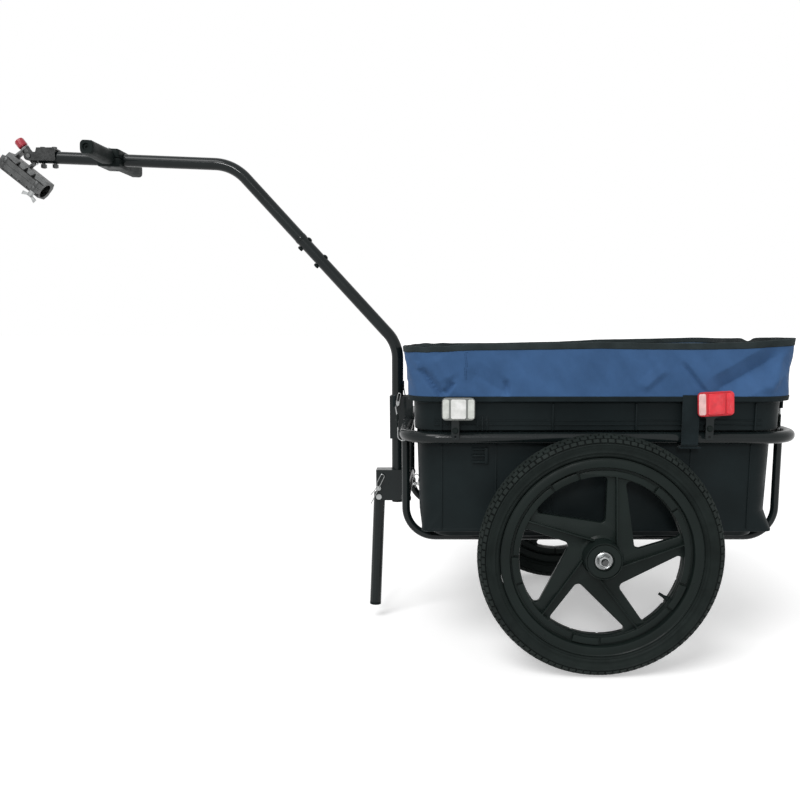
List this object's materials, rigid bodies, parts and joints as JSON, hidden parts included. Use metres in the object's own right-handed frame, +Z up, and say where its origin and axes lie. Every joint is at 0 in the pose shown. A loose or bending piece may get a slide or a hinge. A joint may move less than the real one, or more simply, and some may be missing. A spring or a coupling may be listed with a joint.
{
  "type": "bicycle cargo trailer",
  "caption": "Two-wheeled bicycle cargo trailer: open tub with a blue cloth wall on a black tube frame, cranked drawbar with cross handle, seat-post clamp coupling and folding leg.",
  "frame": {"origin": "bottom centre of the whole trailer's box, on the ground between the tyres and the coupling", "axes": "+X runs backwards from the coupling to the tub, +Y to the trailer's right side, +Z up"},
  "size_m": [1.4175, 0.669, 0.9164],
  "materials": {
    "black_paint": "gloss black powder coat on steel",
    "black_plastic": "moulded black polypropylene, fine grain",
    "wheel_plastic": "moulded black nylon, satin",
    "tyre": "black tyre rubber, block tread",
    "rubber": "black butyl inner tube",
    "blue_fabric": "blue coated polyester cloth",
    "black_fabric": "black woven binding and webbing",
    "zinc_steel": "bright zinc plated steel",
    "cast_aluminium": "sand-blasted cast aluminium",
    "clear_reflector": "clear prismatic reflector lens",
    "red_reflector": "red prismatic reflector lens",
    "red_plastic": "red moulded plastic"
  },
  "bodies": {
    "frame": {"frame_ring_tube": "black_paint", "frame_u_tube_left": "black_paint", "frame_u_tube_right": "black_paint", "frame_front_cross_tube": "black_paint", "frame_axle_tube": "black_paint", "upper_drawbar_bracket": "black_paint", "lower_drawbar_bracket": "black_paint", "front_reflector_bracket_left": "black_paint", "front_reflector_bracket_right": "black_paint", "rear_reflector_bracket_left": "black_paint", "rear_reflector_bracket_right": "black_paint", "drawbar_front_tube": "black_paint", "drawbar_rear_tube": "black_paint", "cargo_tub": "black_plastic", "handle_grip": "black_plastic", "handle_clamp": "black_plastic", "cover_wall": "blue_fabric", "cover_bottom_hem": "black_fabric", "cover_top_hem": "black_fabric", "cover_strap_left": "black_fabric", "cover_strap_right": "black_fabric", "axle_stub_left": "zinc_steel", "axle_stub_right": "zinc_steel", "axle_nut_left": "zinc_steel", "axle_nut_right": "zinc_steel", "corner_latch_front_left": "zinc_steel", "corner_latch_front_right": "zinc_steel", "corner_latch_rear_left": "zinc_steel", "corner_latch_rear_right": "zinc_steel", "drawbar_joint_bolt_upper": "zinc_steel", "drawbar_joint_bolt_lower": "zinc_steel", "drawbar_lower_pin": "zinc_steel", "coupling_bracket": "zinc_steel", "coupling_bolt_front": "zinc_steel", "coupling_bolt_rear": "zinc_steel", "leg_pivot_bolt": "zinc_steel", "front_reflector_left": "clear_reflector", "front_reflector_right": "clear_reflector", "rear_reflector_left": "red_reflector", "rear_reflector_right": "red_reflector"},
    "left_wheel": {"tyre_left": "tyre", "wheel_left": "wheel_plastic", "wheel_bush_left": "zinc_steel", "inner_tube_left": "rubber"},
    "right_wheel": {"tyre_right": "tyre", "wheel_right": "wheel_plastic", "wheel_bush_right": "zinc_steel", "inner_tube_right": "rubber"},
    "leg": {"leg_tube": "black_paint", "leg_foot": "black_plastic"},
    "lock_pin": {"leg_lock_pin": "zinc_steel", "leg_lock_clip": "zinc_steel"},
    "upper_pin": {"drawbar_upper_pin": "zinc_steel"},
    "knuckle": {"hitch_knuckle": "zinc_steel"},
    "seatpost_clamp": {"clamp_body": "cast_aluminium"},
    "jaw": {"clamp_jaw": "cast_aluminium", "clamp_hex_screw": "zinc_steel"},
    "wing": {"wing_screw": "zinc_steel"},
    "release": {"release_pin": "zinc_steel", "release_knob": "red_plastic"}
  },
  "joints": [
    {"name": "left_wheel_spin", "type": "hinge", "parent": "frame", "child": "left_wheel", "pos_m": [0.3655, -0.29, 0.2025], "axis": [0, 1, 0], "continuous": true},
    {"name": "right_wheel_spin", "type": "hinge", "parent": "frame", "child": "right_wheel", "pos_m": [0.3655, 0.29, 0.2025], "axis": [0, 1, 0], "continuous": true},
    {"name": "leg_fold", "type": "hinge", "parent": "frame", "child": "leg", "pos_m": [-0.0156, 0, 0.2471], "axis": [0, 1, 0], "range_deg": [0, 90]},
    {"name": "leg_lock_pin_pull", "type": "slide", "parent": "frame", "child": "lock_pin", "axis": [0, -1, 0], "range_m": [0, 0.05]},
    {"name": "drawbar_upper_pin_pull", "type": "slide", "parent": "frame", "child": "upper_pin", "axis": [0, -1, 0], "range_m": [0, 0.045]},
    {"name": "hitch_pitch", "type": "hinge", "parent": "frame", "child": "knuckle", "pos_m": [-0.6511, 0, 0.8822], "axis": [0, 1, 0], "range_deg": [0, 58]},
    {"name": "hitch_yaw", "type": "hinge", "parent": "knuckle", "child": "seatpost_clamp", "pos_m": [-0.6511, 0, 0.8822], "axis": [-0.6, 0, 0.8], "range_deg": [-58, 58]},
    {"name": "clamp_jaw_swing", "type": "hinge", "parent": "seatpost_clamp", "child": "jaw", "pos_m": [-0.6646, 0.0295, 0.848], "axis": [0.7795, 0, -0.6264], "range_deg": [0, 75]},
    {"name": "wing_screw_turn", "type": "hinge", "parent": "jaw", "child": "wing", "pos_m": [-0.6381, -0.0205, 0.8267], "axis": [0.6264, 0, 0.7795], "continuous": true},
    {"name": "release_pin_pull", "type": "slide", "parent": "seatpost_clamp", "child": "release", "axis": [-0.6, 0, 0.8], "range_m": [0, 0.045]}
  ]
}
